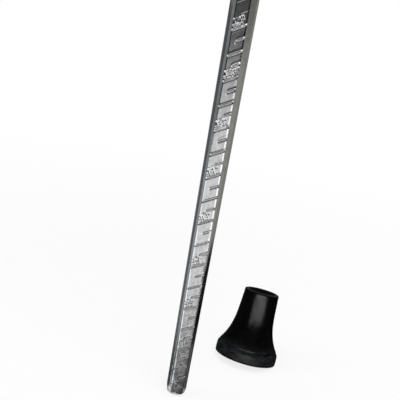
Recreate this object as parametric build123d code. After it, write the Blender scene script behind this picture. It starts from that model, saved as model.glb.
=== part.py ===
from build123d import *
import os
from math import cos, radians, sin, sqrt

# Underarm crutch with a graduated octagonal leg. Millimetres, +Z up.
# The origin is the centre of the leg bar's foot end. X runs from upright to upright,
# -Y is the front, which the scale on the leg faces.

# ---------------------------------------------------------------- driving sizes
INCH = 25.4

# leg bar: parallel octagon above, ground down to a slimmer foot that the tip grips.
# LEFT is the reach of a wide face from its middle, as at all corners but one.
# RIGHT is the scale face's reach towards +X, where the grinding has widened it.
BAR_FLAT = 13.5             # across flats of the parallel stretch
TAPER_TOP = 225.0           # height where the parallel stretch starts
EASE_HEIGHT = 150.0
EASE_FLAT = 12.7
EASE_LEFT = 2.7
EASE_RIGHT = 4.2
WAIST_HEIGHT = 65.0         # height where the scale face is widest
WAIST_FLAT = 11.65
WAIST_LEFT = 2.7
WAIST_RIGHT = 4.9
FOOT_FLAT = 10.9
FOOT_LEFT = 2.2
FOOT_RIGHT = 4.6
FOOT_END_RADIUS = 4.6       # flat middle of the foot's end, which is turned to a cone

# scale on the bar's front face
SCALE_ZERO = 5.2            # height of the lowest line
FIRST_INCH = 36             # inches of crutch when the lowest line is at the socket
INCH_LINES = 14             # lines a whole inch apart, up to the socket
LINE_SLANT = 28.0           # degrees, rising to the right
LINE_WIDTH = 0.7
LINE_DEPTH = 0.25

# rubber tip, standing beside the leg and leaning back on its worn heel
TIP_X = 32.8
TIP_Y = 62.0
TIP_HEIGHT = 45.2
TIP_SOLE_RADIUS = 20.7
TIP_LIP_RADIUS = 11.7
TIP_NECK_RADIUS = 13.1      # where the neck meets the flare
TIP_NECK_LENGTH = 20.5      # slightly tapered part below the mouth
TIP_BAND = 7.6              # height of the sole's side
TIP_LEAN_SIDE = 2.6         # degrees, towards +X
TIP_LEAN_BACK = 13.5        # degrees, towards +Y, as far as the heel is worn
TIP_BORE_RADIUS = 6.5
TIP_MOUTH_RADIUS = 9.2      # the bore opens to this at the lip
TIP_LEAD_IN = 5.0
TIP_EDGE = 0.8              # flat on the rubber's outer edges
TIP_BORE_DEPTH = 30.0
TREAD_GROOVE = 1.6          # width and depth of the rings under the sole
TREAD_RINGS = 3
WASHER_THICK = 1.5          # steel washer moulded in under the bore
WASHER_LIP = 0.8            # how far it reaches under the bore's wall

# socket that the bar slides in
SOCKET_RADIUS = 12.5
SOCKET_WALL = 1.5
GUIDE_LENGTH = 110.0
GUIDE_FLANGE = 3.0
GUIDE_FLANGE_RADIUS = 15.0
SLIDER_DEPTH = 20.0         # of bar held in the slider
SLIDER_CAP = 4.0
SCREW_SOCKET_ACROSS = 4.0   # hexagon socket in the slider's screw
SCREW_SOCKET_DEPTH = 2.0
SCREW_SEAT = 1.0            # of slider under the screw's head
LEG_TRAVEL = 100.0
SLIT_WIDTH = 2.0
SLIT_LENGTH = 45.0
PLUG_STEM = 10.0
PLUG_FLANGE = 2.5

# clamp round the socket's slit end
COLLAR_SET = 6.0            # above the guide's flange
COLLAR_HEIGHT = 22.0
COLLAR_WALL = 5.0
COLLAR_GAP = 3.0
EAR_REACH = 29.0            # from the bar's axis to the stud
EAR_THICK = 7.0
EAR_RADIUS = 9.0
STUD_RADIUS = 3.0
NUT_ACROSS = 10.0           # across flats
NUT_THICK = 5.0
NUT_POCKET = 2.5
KNOB_RADIUS = 15.0
KNOB_THICK = 13.0
KNOB_HUB_RADIUS = 7.5
KNOB_HUB = 5.0
KNOB_LOBES = 6

# yokes that join the socket to the uprights
YOKE_HEIGHT = 28.0
YOKE_WALL = 5.0
YOKE_WEB = 4.0              # metal between neighbouring bores
YOKE_SET = 60.0             # from the socket's lower end to the lower yoke
YOKE_BELOW_TOP = 12.0       # from the upper yoke to the socket's top
RIVET_RADIUS = 2.0
RIVET_HEAD_RADIUS = 4.0
RIVET_HEAD = 2.2
SET_SCREW_RADIUS = 2.5
SET_SCREW_SUNK = 1.0

# bent uprights
TUBE_RADIUS = 11.0
TUBE_WALL = 1.5
TUBE_BELOW_YOKE = 4.0
BOW_STRAIGHT = 12.0         # above the upper yoke, before the bend
BOW_HALF = 64.0             # half the distance between the uprights' upper axes
BOW_RISE = 140.0
BOW_RADIUS = 110.0
HOLE_RADIUS = 3.25
HOLE_START = 740.0
HOLE_COUNT = 9
GRIP_HOLE = 4               # the hole that the grip is bolted in, counted from 0

# handgrip
GRIP_CORE_RADIUS = 9.0
GRIP_CORE_WALL = 1.5
GRIP_RADIUS = 15.5
GRIP_SWELL = 2.5            # added at the middle of the grip
GRIP_END_SPACE = 2.0        # from the sleeve's end to a saddle washer
SADDLE_RADIUS = 13.0
SADDLE_THICK = 3.0
SADDLE_WRAP = 4.0           # how far it reaches round the upright
BOLT_RADIUS = 3.0
BOLT_HEAD_ACROSS = 10.0
BOLT_HEAD = 4.0
BOLT_SPARE = 5.0            # thread showing past the wing nut
WASHER_RADIUS = 8.0
WASHER_FLAT = 1.2
WING_BASE_RADIUS = 6.0
WING_BASE = 7.0
WING_REACH = 14.0
WING_RISE = 11.0
WING_THICK = 2.4

# underarm rest
PAD_CURVE = 300.0           # radius of the hollow in the pad's top
PAD_HALF = 107.0
PAD_WIDTH = 42.0
PAD_THICK = 24.0
PAD_ROUND = 9.0
REST_HALF = 97.0
REST_WIDTH = 32.0
REST_THICK = 9.0
REST_ROUND = 2.0
BOSS_RADIUS = 14.5
BOSS_LENGTH = 34.0
PAD_SCREW_SPACING = 38.0
PAD_SCREW_RADIUS = 2.0
PAD_SCREW_HEAD_RADIUS = 4.0
PAD_SCREW_HEAD = 2.4
PAD_SCREW_BITE = 10.0

# clearances
FIT = 0.05                  # radial, between fixed pieces
RUNNING = 0.08              # radial, for sliding and turning pieces
SOFT_GAP = 0.3              # round soft pieces and at stops
FACE_GAP = 0.05             # between flat faces that turn on each other

# ---------------------------------------------------------------- derived places
READ_HEIGHT = SCALE_ZERO + (INCH_LINES - 1) * INCH
PAD_LOW = (FIRST_INCH + INCH_LINES - 1) * INCH
BAR_HALF_FACE = BAR_FLAT * (sqrt(2) - 1) / 2
TAPER = [
    (0, FOOT_FLAT, FOOT_LEFT, FOOT_RIGHT),
    (WAIST_HEIGHT, WAIST_FLAT, WAIST_LEFT, WAIST_RIGHT),
    (EASE_HEIGHT, EASE_FLAT, EASE_LEFT, EASE_RIGHT),
    (TAPER_TOP, BAR_FLAT, BAR_HALF_FACE, BAR_HALF_FACE),
]
SOCKET_BORE = SOCKET_RADIUS - SOCKET_WALL
SOCKET_BOTTOM = READ_HEIGHT + GUIDE_FLANGE
GUIDE_TOP = READ_HEIGHT + GUIDE_LENGTH
SLIDER_BOTTOM = GUIDE_TOP + SOFT_GAP
BAR_TOP = SLIDER_BOTTOM + SLIDER_DEPTH
SLIDER_TOP = BAR_TOP + SLIDER_CAP
SOCKET_TOP = SLIDER_TOP + LEG_TRAVEL + SLIDER_CAP + PLUG_STEM
COLLAR_BOTTOM = SOCKET_BOTTOM + COLLAR_SET
COLLAR_MID = COLLAR_BOTTOM + COLLAR_HEIGHT / 2
COLLAR_RADIUS = SOCKET_RADIUS + COLLAR_WALL
EAR_FACE = COLLAR_GAP / 2 + EAR_THICK
LOWER_YOKE = SOCKET_BOTTOM + YOKE_SET
UPPER_YOKE = SOCKET_TOP - YOKE_BELOW_TOP - YOKE_HEIGHT
FORK_HALF = SOCKET_RADIUS + YOKE_WEB + TUBE_RADIUS
TUBE_BOTTOM = LOWER_YOKE - TUBE_BELOW_YOKE
BEND_START = UPPER_YOKE + YOKE_HEIGHT + BOW_STRAIGHT
TUBE_BORE = TUBE_RADIUS - TUBE_WALL
GRIP_HEIGHT = HOLE_START + GRIP_HOLE * INCH
PAD_CENTRE = PAD_LOW + PAD_CURVE
PAD_UNDER = PAD_CURVE + PAD_THICK
REST_TOP = PAD_UNDER + SOFT_GAP
REST_UNDER = REST_TOP + REST_THICK
BOSS_TOP = PAD_CENTRE - sqrt(REST_UNDER ** 2 - BOW_HALF ** 2)
BOSS_BOTTOM = BOSS_TOP - BOSS_LENGTH
TUBE_TOP = BOSS_TOP - FIT
SIDES = (-1, 1)

parts = {}


# ---------------------------------------------------------------- small makers
def rod(start, direction, radius, length):
    """A cylinder from start along direction."""
    on_base = (Align.CENTER, Align.CENTER, Align.MIN)
    return Plane(origin=start, z_dir=direction) * Cylinder(radius, length, align=on_base)


def ring(start, direction, outer, inner, length):
    """A tube or washer from start along direction."""
    return rod(start, direction, outer, length) - rod(start, direction, inner, length)


def hexagon(start, direction, across, length):
    """A hexagonal prism from start along direction."""
    shape = RegularPolygon(across / 2, 6, major_radius=False)
    return Plane(origin=start, z_dir=direction) * extrude(shape, length)


def dome(start, direction, radius, height):
    """A rivet or screw head: a ball's cap whose flat side sits at start."""
    ball = (radius ** 2 + height ** 2) / (2 * height)
    base = Plane(origin=start, z_dir=direction)
    shape = base * Pos(0, 0, height - ball) * Sphere(ball)
    return shape & rod(start, direction, radius * 2, height * 2)


def octagon(height, flat, left, right):
    """The bar's section, whose wide faces are across flats. Only one corner uses right."""
    w = flat / 2
    scale_corner = [(right, -w), (w, -right)]
    others = [(w, left), (left, w), (-left, w), (-w, left), (-w, -left), (-left, -w)]
    return Pos(0, 0, height) * make_face(Polyline(*scale_corner, *others, close=True))


def parallel_octagon(height, grow=0.0):
    """The section above the taper, with each face moved out by grow."""
    flat = BAR_FLAT + 2 * grow
    half_face = flat * (sqrt(2) - 1) / 2
    return octagon(height, flat, half_face, half_face)


# ---------------------------------------------------------------- leg
def front_of_bar(height):
    """How far the scale face stands in front of the bar's axis."""
    for lower, upper in zip(TAPER, TAPER[1:]):
        if height <= upper[0]:
            share = (height - lower[0]) / (upper[0] - lower[0])
            return (lower[1] + (upper[1] - lower[1]) * share) / 2
    return BAR_FLAT / 2


def scale_plane(height):
    """A plane on the scale face, tilted so that its X axis runs along a line."""
    slant = radians(LINE_SLANT)
    return Plane(
        origin=(0, -front_of_bar(height), height),
        x_dir=(cos(slant), 0, sin(slant)),
        z_dir=(0, -1, 0),
    )


def scale_line(index):
    """One groove: every other one is long, the rest start at the bar's middle."""
    height = SCALE_ZERO + index * INCH / 4
    long_line = index % 2 == 0
    reach = BAR_FLAT
    start = -reach if long_line else 0
    groove = Box(reach - start, LINE_WIDTH, LINE_DEPTH * 2, align=(Align.MIN, Align.CENTER, Align.CENTER))
    return scale_plane(height) * Pos(start, 0, 0) * groove


def make_leg():
    taper = loft([octagon(*section) for section in TAPER], ruled=True)
    bar = taper + extrude(parallel_octagon(TAPER_TOP), BAR_TOP - TAPER_TOP)
    turned = Cone(
        FOOT_END_RADIUS, FOOT_END_RADIUS + BAR_FLAT, BAR_FLAT, align=(Align.CENTER, Align.CENTER, Align.MIN)
    )
    turned += rod((0, 0, BAR_FLAT), (0, 0, 1), FOOT_END_RADIUS + BAR_FLAT, BAR_TOP)
    bar = bar & turned
    lines = [scale_line(index) for index in range(4 * (INCH_LINES - 1))]
    bar = bar - lines
    screw_hole = rod((0, 0, BAR_TOP - SLIDER_DEPTH / 2), (0, 0, 1), STUD_RADIUS, SLIDER_DEPTH)
    parts["leg_bar"] = bar - screw_hole

    slider = rod((0, 0, SLIDER_BOTTOM), (0, 0, 1), SOCKET_BORE - RUNNING, SLIDER_TOP - SLIDER_BOTTOM)
    slider -= extrude(parallel_octagon(SLIDER_BOTTOM, FIT), SLIDER_DEPTH)
    sink = SLIDER_CAP - SCREW_SEAT
    countersink = Cone(
        STUD_RADIUS + FIT, STUD_RADIUS + sink + FIT, sink, align=(Align.CENTER, Align.CENTER, Align.MIN)
    )
    slider -= rod((0, 0, SLIDER_BOTTOM), (0, 0, 1), STUD_RADIUS + FIT, SLIDER_DEPTH + SLIDER_CAP)
    slider -= Pos(0, 0, SLIDER_TOP - sink) * countersink
    parts["leg_slider"] = slider

    head = Cone(STUD_RADIUS, STUD_RADIUS + sink, sink, align=(Align.CENTER, Align.CENTER, Align.MIN))
    screw = rod((0, 0, BAR_TOP - SLIDER_DEPTH / 2), (0, 0, 1), STUD_RADIUS - FIT, SLIDER_DEPTH / 2 + SLIDER_CAP)
    screw += Pos(0, 0, SLIDER_TOP - sink) * head
    drive = SLIDER_TOP - SCREW_SOCKET_DEPTH
    screw -= hexagon((0, 0, drive), (0, 0, 1), SCREW_SOCKET_ACROSS, SCREW_SOCKET_DEPTH)
    parts["leg_slider_screw"] = screw


# ---------------------------------------------------------------- rubber tip
def make_tip():
    neck_foot = TIP_HEIGHT - TIP_NECK_LENGTH
    floor = TIP_HEIGHT - TIP_BORE_DEPTH
    pocket = TIP_BORE_RADIUS + WASHER_LIP
    profile = Polyline(
        (TIP_BORE_RADIUS, floor),
        (pocket, floor),
        (pocket, floor - WASHER_THICK),
        (0, floor - WASHER_THICK),
        (0, 0),
        (TIP_SOLE_RADIUS - TIP_EDGE, 0),
        (TIP_SOLE_RADIUS, TIP_EDGE),
        (TIP_SOLE_RADIUS, TIP_BAND - TIP_EDGE),
        (TIP_SOLE_RADIUS - TIP_EDGE, TIP_BAND),
    )
    flare = Spline(
        (TIP_SOLE_RADIUS - TIP_EDGE, TIP_BAND),
        (TIP_NECK_RADIUS, neck_foot),
        tangents=((-0.6, 1), (-0.12, 1)),
    )
    mouth = Polyline(
        (TIP_NECK_RADIUS, neck_foot),
        (TIP_LIP_RADIUS, TIP_HEIGHT - TIP_EDGE),
        (TIP_LIP_RADIUS - TIP_EDGE, TIP_HEIGHT),
        (TIP_MOUTH_RADIUS, TIP_HEIGHT),
        (TIP_BORE_RADIUS, TIP_HEIGHT - TIP_LEAD_IN),
        (TIP_BORE_RADIUS, floor),
    )
    body = revolve(Plane.XZ * make_face(profile + flare + mouth), Axis.Z)
    pitch = TIP_SOLE_RADIUS / (TREAD_RINGS + 1)
    for index in range(TREAD_RINGS):
        inner = pitch * (index + 1) - TREAD_GROOVE / 2
        body -= ring((0, 0, 0), (0, 0, 1), inner + TREAD_GROOVE, inner, TREAD_GROOVE)
    place = Pos(TIP_X, TIP_Y, 0)
    lean = place * Rot(-TIP_LEAN_BACK, 0, 0) * Rot(0, TIP_LEAN_SIDE, 0)
    worn = Cylinder(TIP_SOLE_RADIUS * 2, TIP_HEIGHT, align=(Align.CENTER, Align.CENTER, Align.MAX))
    parts["rubber_tip"] = lean * body - place * worn

    washer = ring((0, 0, floor - WASHER_THICK), (0, 0, 1), pocket - FIT, BOLT_RADIUS, WASHER_THICK)
    parts["tip_washer"] = lean * washer


# ---------------------------------------------------------------- socket and guide
def slit(width, length):
    """The saw cut that lets the clamp squeeze, open towards the collar's ears."""
    cut = Box(SOCKET_RADIUS * 2, width, length, align=(Align.MIN, Align.CENTER, Align.MIN))
    return Pos(0, 0, READ_HEIGHT) * cut


def tube_plug(x, height, direction, tube_radius, bore):
    """A push-in cap for a tube's open end."""
    cap = rod((x, 0, height), direction, tube_radius, PLUG_FLANGE)
    stem_direction = (0, 0, -direction[2])
    return cap + rod((x, 0, height), stem_direction, bore - FIT, PLUG_STEM)


def make_socket():
    tube = ring((0, 0, SOCKET_BOTTOM), (0, 0, 1), SOCKET_RADIUS, SOCKET_BORE, SOCKET_TOP - SOCKET_BOTTOM)
    parts["socket_tube"] = tube - slit(SLIT_WIDTH, SLIT_LENGTH)

    guide = rod((0, 0, READ_HEIGHT), (0, 0, 1), GUIDE_FLANGE_RADIUS, GUIDE_FLANGE)
    guide = chamfer(guide.edges().group_by(Axis.Z)[0], GUIDE_FLANGE / 3)
    guide += rod((0, 0, READ_HEIGHT), (0, 0, 1), SOCKET_BORE - FIT, GUIDE_LENGTH)
    guide -= extrude(parallel_octagon(READ_HEIGHT, RUNNING), GUIDE_LENGTH)
    parts["guide_bush"] = guide - slit(SLIT_WIDTH, SLIT_LENGTH)

    parts["socket_cap"] = tube_plug(0, SOCKET_TOP, (0, 0, 1), SOCKET_RADIUS, SOCKET_BORE)


# ---------------------------------------------------------------- clamp
def ear(side):
    """One lug of the collar, with a round end about the stud."""
    near = side * COLLAR_GAP / 2
    root = Box(EAR_REACH, EAR_THICK, COLLAR_HEIGHT, align=(Align.MIN, Align.MIN, Align.CENTER))
    lug = Pos(0, min(near, near + side * EAR_THICK), 0) * root
    nose = rod((EAR_REACH, near, 0), (0, side, 0), COLLAR_HEIGHT / 2, EAR_THICK)
    return Pos(0, 0, COLLAR_MID) * (lug + nose)


def make_clamp():
    bottom = (0, 0, COLLAR_BOTTOM)
    collar = rod(bottom, (0, 0, 1), COLLAR_RADIUS, COLLAR_HEIGHT) + ear(-1) + ear(1)
    collar -= rod(bottom, (0, 0, 1), SOCKET_RADIUS + FIT, COLLAR_HEIGHT)
    collar -= Pos(0, 0, COLLAR_MID) * Box(
        EAR_REACH * 2, COLLAR_GAP, COLLAR_HEIGHT, align=(Align.MIN, Align.CENTER, Align.CENTER)
    )
    collar -= rod((EAR_REACH, -EAR_FACE, COLLAR_MID), (0, 1, 0), STUD_RADIUS + RUNNING, 2 * EAR_FACE)
    pocket = (EAR_REACH, EAR_FACE - NUT_POCKET, COLLAR_MID)
    collar -= hexagon(pocket, (0, 1, 0), NUT_ACROSS + 2 * FIT, NUT_THICK)
    parts["clamp_collar"] = collar

    nut = hexagon(pocket, (0, 1, 0), NUT_ACROSS, NUT_THICK)
    nut -= rod(pocket, (0, 1, 0), STUD_RADIUS + RUNNING, NUT_THICK)
    parts["clamp_nut"] = nut

    washer_back = -EAR_FACE
    parts["clamp_washer"] = ring(
        (EAR_REACH, washer_back, COLLAR_MID), (0, -1, 0), WASHER_RADIUS, STUD_RADIUS + RUNNING, WASHER_FLAT
    )

    knob_back = washer_back - WASHER_FLAT - FACE_GAP
    outline = Circle(KNOB_RADIUS)
    for lobe in range(KNOB_LOBES):
        angle = radians(360 / KNOB_LOBES * lobe)
        bite = KNOB_RADIUS * 1.12
        outline -= Pos(bite * cos(angle), bite * sin(angle)) * Circle(KNOB_RADIUS * 0.28)
    star = extrude(outline, KNOB_THICK)
    star = fillet(star.edges().group_by(Axis.Z)[-1], 1.2)
    knob = Plane(origin=(EAR_REACH, knob_back - KNOB_HUB, COLLAR_MID), z_dir=(0, -1, 0)) * star
    knob += rod((EAR_REACH, knob_back, COLLAR_MID), (0, -1, 0), KNOB_HUB_RADIUS, KNOB_HUB)
    stud_start = knob_back - KNOB_HUB - KNOB_THICK / 2
    knob -= rod((EAR_REACH, knob_back, COLLAR_MID), (0, -1, 0), STUD_RADIUS + FIT, knob_back - stud_start)
    parts["clamp_knob"] = knob

    stud_end = EAR_FACE - NUT_POCKET + NUT_THICK + BOLT_SPARE
    parts["clamp_stud"] = rod((EAR_REACH, stud_start, COLLAR_MID), (0, 1, 0), STUD_RADIUS, stud_end - stud_start)


# ---------------------------------------------------------------- yokes
def make_yoke(bottom):
    """A casting with three bores: the socket in the middle, an upright each side."""
    middle = Circle(SOCKET_RADIUS + YOKE_WALL)
    left = Pos(-FORK_HALF, 0) * middle
    right = Pos(FORK_HALF, 0) * middle
    outline = make_hull([*left.edges(), *right.edges()])
    block = Pos(0, 0, bottom) * extrude(outline, YOKE_HEIGHT)
    rims = block.edges().group_by(Axis.Z)
    block = fillet([*rims[0], *rims[-1]], YOKE_WALL / 3)
    block -= rod((0, 0, bottom), (0, 0, 1), SOCKET_RADIUS + FIT, YOKE_HEIGHT)
    middle_height = bottom + YOKE_HEIGHT / 2
    depth = SOCKET_RADIUS + YOKE_WALL
    for side in SIDES:
        x = side * FORK_HALF
        block -= rod((x, 0, bottom), (0, 0, 1), TUBE_RADIUS + FIT, YOKE_HEIGHT)
        block -= rod((x, -depth, middle_height), (0, 1, 0), RIVET_RADIUS + FIT, 2 * depth)
    return block - rod((0, SOCKET_RADIUS, middle_height), (0, 1, 0), SET_SCREW_RADIUS + FIT, YOKE_WALL * 2)


def cross_rivet(x, height, half):
    """A rivet from front to back with a domed head at each end."""
    shank = rod((x, -half, height), (0, 1, 0), RIVET_RADIUS, 2 * half)
    front = dome((x, -half, height), (0, -1, 0), RIVET_HEAD_RADIUS, RIVET_HEAD)
    back = dome((x, half, height), (0, 1, 0), RIVET_HEAD_RADIUS, RIVET_HEAD)
    return shank + front + back


def set_screw(height):
    """A headless screw that bites on the socket tube, with a hexagon socket."""
    end = SOCKET_RADIUS + YOKE_WALL - SET_SCREW_SUNK
    start = (0, SOCKET_RADIUS, height)
    body = rod(start, (0, 1, 0), SET_SCREW_RADIUS, end - SOCKET_RADIUS)
    return body - hexagon((0, end - SET_SCREW_RADIUS, height), (0, 1, 0), SET_SCREW_RADIUS, YOKE_WALL)


def make_yokes():
    parts["lower_yoke"] = make_yoke(LOWER_YOKE)
    parts["upper_yoke"] = make_yoke(UPPER_YOKE)
    heights = [LOWER_YOKE + YOKE_HEIGHT / 2, UPPER_YOKE + YOKE_HEIGHT / 2]
    half = SOCKET_RADIUS + YOKE_WALL
    rivets = [cross_rivet(side * FORK_HALF, height, half) for side in SIDES for height in heights]
    parts["yoke_rivets"] = Compound(children=rivets)
    parts["socket_set_screws"] = Compound(children=[set_screw(height) for height in heights])


# ---------------------------------------------------------------- uprights
def make_upright(side):
    """A bent tube: beside the socket below, out to the grip and the rest above."""
    path = FilletPolyline(
        (side * FORK_HALF, 0, TUBE_BOTTOM),
        (side * FORK_HALF, 0, BEND_START),
        (side * BOW_HALF, 0, BEND_START + BOW_RISE),
        (side * BOW_HALF, 0, TUBE_TOP),
        radius=BOW_RADIUS,
    )
    section = Circle(TUBE_RADIUS) - Circle(TUBE_BORE)
    tube = sweep(Plane(origin=path @ 0, z_dir=path % 0) * section, path=path)
    for index in range(HOLE_COUNT):
        height = HOLE_START + index * INCH
        tube -= rod((side * BOW_HALF - TUBE_RADIUS * 2, 0, height), (1, 0, 0), HOLE_RADIUS, TUBE_RADIUS * 4)
    rivet_space = RIVET_RADIUS + FIT
    places = [
        (side * FORK_HALF, LOWER_YOKE + YOKE_HEIGHT / 2),
        (side * FORK_HALF, UPPER_YOKE + YOKE_HEIGHT / 2),
        (side * BOW_HALF, BOSS_BOTTOM + BOSS_LENGTH / 2),
    ]
    for x, height in places:
        tube -= rod((x, -TUBE_RADIUS * 2, height), (0, 1, 0), rivet_space, TUBE_RADIUS * 4)
    return tube


def make_uprights():
    parts["upright_left"] = make_upright(-1)
    parts["upright_right"] = make_upright(1)
    plugs = [tube_plug(side * FORK_HALF, TUBE_BOTTOM, (0, 0, -1), TUBE_RADIUS, TUBE_BORE) for side in SIDES]
    parts["upright_plugs"] = Compound(children=plugs)


# ---------------------------------------------------------------- handgrip
def saddle_washer(side):
    """A round block hollowed to sit on the upright's inner side."""
    inner = BOW_HALF - TUBE_RADIUS - SADDLE_THICK
    start = (side * inner, 0, GRIP_HEIGHT)
    block = rod(start, (side, 0, 0), SADDLE_RADIUS, SADDLE_THICK + SADDLE_WRAP)
    tube_start = (side * BOW_HALF, 0, GRIP_HEIGHT - SADDLE_RADIUS * 2)
    block -= rod(tube_start, (0, 0, 1), TUBE_RADIUS + FIT, SADDLE_RADIUS * 4)
    return block - rod(start, (side, 0, 0), HOLE_RADIUS, SADDLE_THICK * 3)


def make_grip():
    core_half = BOW_HALF - TUBE_RADIUS - SADDLE_THICK
    core_start = (-core_half, 0, GRIP_HEIGHT)
    parts["grip_core"] = ring(
        core_start, (1, 0, 0), GRIP_CORE_RADIUS, GRIP_CORE_RADIUS - GRIP_CORE_WALL, 2 * core_half
    )

    half = core_half - GRIP_END_SPACE
    bore = GRIP_CORE_RADIUS + FIT
    top = ThreePointArc((-half, GRIP_RADIUS), (0, GRIP_RADIUS + GRIP_SWELL), (half, GRIP_RADIUS))
    sides = Polyline((half, GRIP_RADIUS), (half, bore), (-half, bore), (-half, GRIP_RADIUS))
    profile = make_face(top + sides)
    profile = fillet(profile.vertices().group_by(Axis.Y)[-1], GRIP_SWELL)
    parts["grip_sleeve"] = Pos(0, 0, GRIP_HEIGHT) * revolve(Plane.XZ * profile, Axis.X)

    parts["grip_saddles"] = Compound(children=[saddle_washer(side) for side in SIDES])

    outer = BOW_HALF + TUBE_RADIUS
    washers = [
        ring((side * outer, 0, GRIP_HEIGHT), (side, 0, 0), WASHER_RADIUS, BOLT_RADIUS + FIT, WASHER_FLAT)
        for side in SIDES
    ]
    parts["grip_washers"] = Compound(children=washers)

    head_face = outer + WASHER_FLAT
    end = head_face + WING_BASE + BOLT_SPARE
    bolt = rod((-head_face, 0, GRIP_HEIGHT), (1, 0, 0), BOLT_RADIUS, head_face + end)
    bolt += hexagon((-head_face, 0, GRIP_HEIGHT), (-1, 0, 0), BOLT_HEAD_ACROSS, BOLT_HEAD)
    parts["grip_bolt"] = bolt

    parts["grip_wing_nut"] = wing_nut(head_face + FACE_GAP)


def wing_nut(face):
    """A tapered hub with two flat wings that rise away from the upright."""
    hub = Cone(WING_BASE_RADIUS, WING_BASE_RADIUS * 0.8, WING_BASE, align=(Align.CENTER, Align.CENTER, Align.MIN))
    nut = hub
    for side in SIDES:
        foot = Pos(side * WING_BASE_RADIUS * 0.6, WING_BASE * 0.45) * Circle(WING_BASE * 0.4)
        tip = Pos(side * WING_REACH, WING_RISE) * Circle(WING_BASE * 0.5)
        wing = make_hull([*foot.edges(), *tip.edges()])
        nut += Plane.XZ * extrude(wing, WING_THICK / 2, both=True)
    nut -= Cylinder(BOLT_RADIUS + RUNNING, WING_BASE * 4)
    return Plane(origin=(face, 0, GRIP_HEIGHT), x_dir=(0, 0, 1), z_dir=(1, 0, 0)) * nut


# ---------------------------------------------------------------- underarm rest
def bow(top_radius, under_radius, half, width):
    """A bar curved about the hollow's centre, with square ends."""
    ends = Pos(0, 0, PAD_CENTRE) * Box(2 * half, width, 2 * under_radius)
    shape = rod((0, -width / 2, PAD_CENTRE), (0, 1, 0), under_radius, width)
    shape -= rod((0, -width / 2, PAD_CENTRE), (0, 1, 0), top_radius, width)
    lower = Box(2 * half, width, 2 * under_radius, align=(Align.CENTER, Align.CENTER, Align.MAX))
    return shape & ends & (Pos(0, 0, PAD_CENTRE) * lower)


def pad_screw(x, grow=0.0):
    """A pan-head screw up through the rest into the pad, square to the curve."""
    down = Vector(x, 0, -sqrt(REST_UNDER ** 2 - x ** 2)).normalized()
    seat = Vector(0, 0, PAD_CENTRE) + down * REST_UNDER
    length = REST_THICK + SOFT_GAP + PAD_SCREW_BITE
    shank = rod(seat, -down, PAD_SCREW_RADIUS + grow, length + grow)
    return shank + dome(seat, down, PAD_SCREW_HEAD_RADIUS, PAD_SCREW_HEAD)


def make_rest():
    places = [-PAD_SCREW_SPACING, 0, PAD_SCREW_SPACING]
    screws = [pad_screw(x) for x in places]

    pad = bow(PAD_CURVE, PAD_UNDER, PAD_HALF, PAD_WIDTH)
    pad = fillet(pad.edges(), PAD_ROUND)
    for x in places:
        pad -= pad_screw(x, SOFT_GAP)
    parts["underarm_pad"] = pad

    rest = bow(REST_TOP, REST_UNDER, REST_HALF, REST_WIDTH)
    rest = fillet(rest.edges(), REST_ROUND)
    middle_height = BOSS_BOTTOM + BOSS_LENGTH / 2
    for side in SIDES:
        x = side * BOW_HALF
        rest += rod((x, 0, BOSS_BOTTOM), (0, 0, 1), BOSS_RADIUS, BOSS_LENGTH + REST_THICK / 2)
    for side in SIDES:
        x = side * BOW_HALF
        rest -= rod((x, 0, BOSS_BOTTOM), (0, 0, 1), TUBE_RADIUS + FIT, BOSS_LENGTH)
        rest -= rod((x, -BOSS_RADIUS * 2, middle_height), (0, 1, 0), RIVET_RADIUS + FIT, BOSS_RADIUS * 4)
    for x in places:
        rest -= pad_screw(x, FIT)
    parts["underarm_rest"] = rest

    parts["pad_screws"] = Compound(children=screws)
    rivets = [cross_rivet(side * BOW_HALF, middle_height, BOSS_RADIUS) for side in SIDES]
    parts["rest_rivets"] = Compound(children=rivets)


make_leg()
make_tip()
make_socket()
make_clamp()
make_yokes()
make_uprights()
make_grip()
make_rest()

os.makedirs("parts", exist_ok=True)
for name, shape in parts.items():
    export_step(shape, f"parts/{name}.step")
print(f"{len(parts)} nodes")
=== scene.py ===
import random
from math import cos, pi, radians, sin, tan

import bmesh
import bpy
import numpy as np
from mathutils import Matrix, Vector


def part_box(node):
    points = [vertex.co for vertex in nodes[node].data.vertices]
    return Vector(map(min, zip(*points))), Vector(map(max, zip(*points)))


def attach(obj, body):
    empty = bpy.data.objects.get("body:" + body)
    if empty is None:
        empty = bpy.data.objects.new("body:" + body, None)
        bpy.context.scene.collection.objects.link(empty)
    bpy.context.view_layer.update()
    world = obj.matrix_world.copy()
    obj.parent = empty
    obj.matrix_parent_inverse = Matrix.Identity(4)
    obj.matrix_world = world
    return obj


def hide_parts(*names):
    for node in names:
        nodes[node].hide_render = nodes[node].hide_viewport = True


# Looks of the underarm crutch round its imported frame. The leg bar, tip, handgrip and pad are
# replaced by finer meshes; every other piece is the CAD's, with a finish of its own.
# Shapes are worked out in millimetres and turned to metres as they become meshes. The camera,
# floor and lights are in metres.

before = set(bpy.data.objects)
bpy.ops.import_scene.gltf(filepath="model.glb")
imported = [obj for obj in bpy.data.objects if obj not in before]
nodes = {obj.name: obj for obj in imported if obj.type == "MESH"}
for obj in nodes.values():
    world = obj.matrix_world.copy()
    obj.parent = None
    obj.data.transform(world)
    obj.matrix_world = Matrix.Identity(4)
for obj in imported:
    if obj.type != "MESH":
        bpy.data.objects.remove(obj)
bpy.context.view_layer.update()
scene = bpy.context.scene
MM = 0.001
rng = random.Random(36)


def node_box(name):
    """A node's lowest and highest corners, in millimetres."""
    low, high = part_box(name)
    return low / MM, high / MM


# -------- camera
CAMERA_PLACE = Vector((0.05013, -0.31086, 0.198755))
CAMERA_TURN = radians(10.077)  # to the left of +Y
CAMERA_PITCH = radians(14.522)  # down
CAMERA_ROLL = radians(9.834)
CAMERA_LENS = 54.0  # mm
CAMERA_SENSOR = 36.0


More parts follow.
